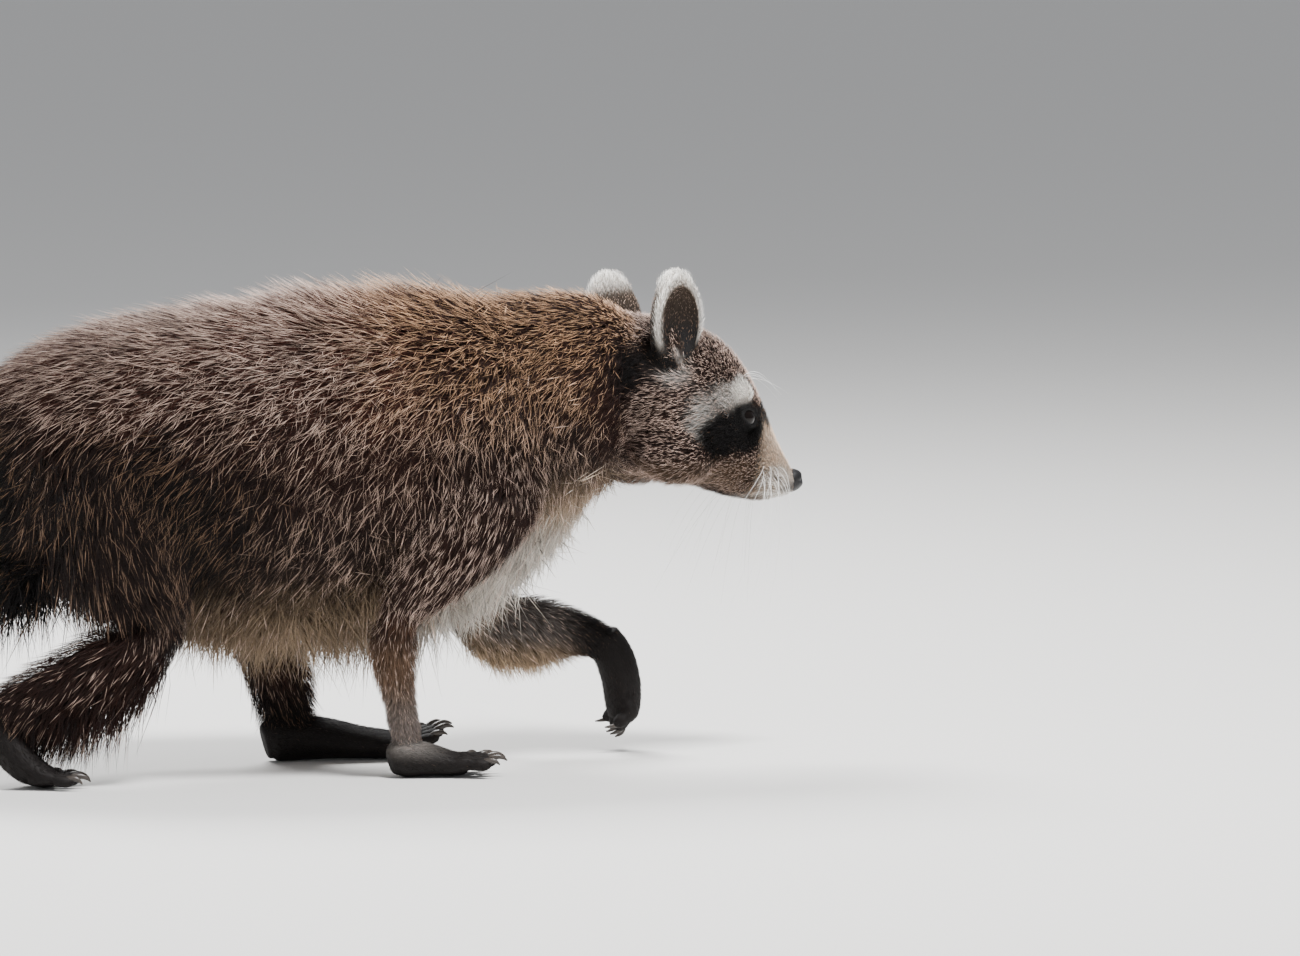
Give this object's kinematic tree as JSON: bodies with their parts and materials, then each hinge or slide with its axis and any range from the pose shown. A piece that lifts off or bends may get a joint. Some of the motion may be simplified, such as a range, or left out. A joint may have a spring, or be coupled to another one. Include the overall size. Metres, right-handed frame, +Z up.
{
  "type": "raccoon",
  "caption": "Still life-size raccoon in mid stride, one forepaw lifted, with a shaggy coat and a bushy tail.",
  "frame": {"origin": "centre of the bounding box in X and Y, at the level of the soles", "axes": "+X forward, towards the nose; +Y to the animal's left; +Z up"},
  "size_m": [0.7765, 0.1888, 0.2924],
  "materials": {
    "fur": "long grizzled brown-grey coat, dark underneath with cream tips",
    "pale_fur": "short buff to whitish fur",
    "dark_fur": "short blackish brown fur on legs and feet",
    "nose_leather": "moist black bare skin",
    "eye": "wet, glossy, nearly black"
  },
  "bodies": {
    "root": {"head": "fur", "neck": "fur", "torso": "fur", "tail": "fur", "upper_arm_left": "fur", "upper_arm_right": "fur", "thigh_left": "fur", "thigh_right": "fur", "ear_left": "pale_fur", "ear_right": "pale_fur", "forearm_left": "pale_fur", "forearm_right": "pale_fur", "shank_left": "dark_fur", "shank_right": "dark_fur", "forepaw_left": "dark_fur", "forepaw_right": "dark_fur", "hind_foot_left": "dark_fur", "hind_foot_right": "dark_fur", "nose": "nose_leather", "eye_left": "eye", "eye_right": "eye"}
  },
  "joints": []
}
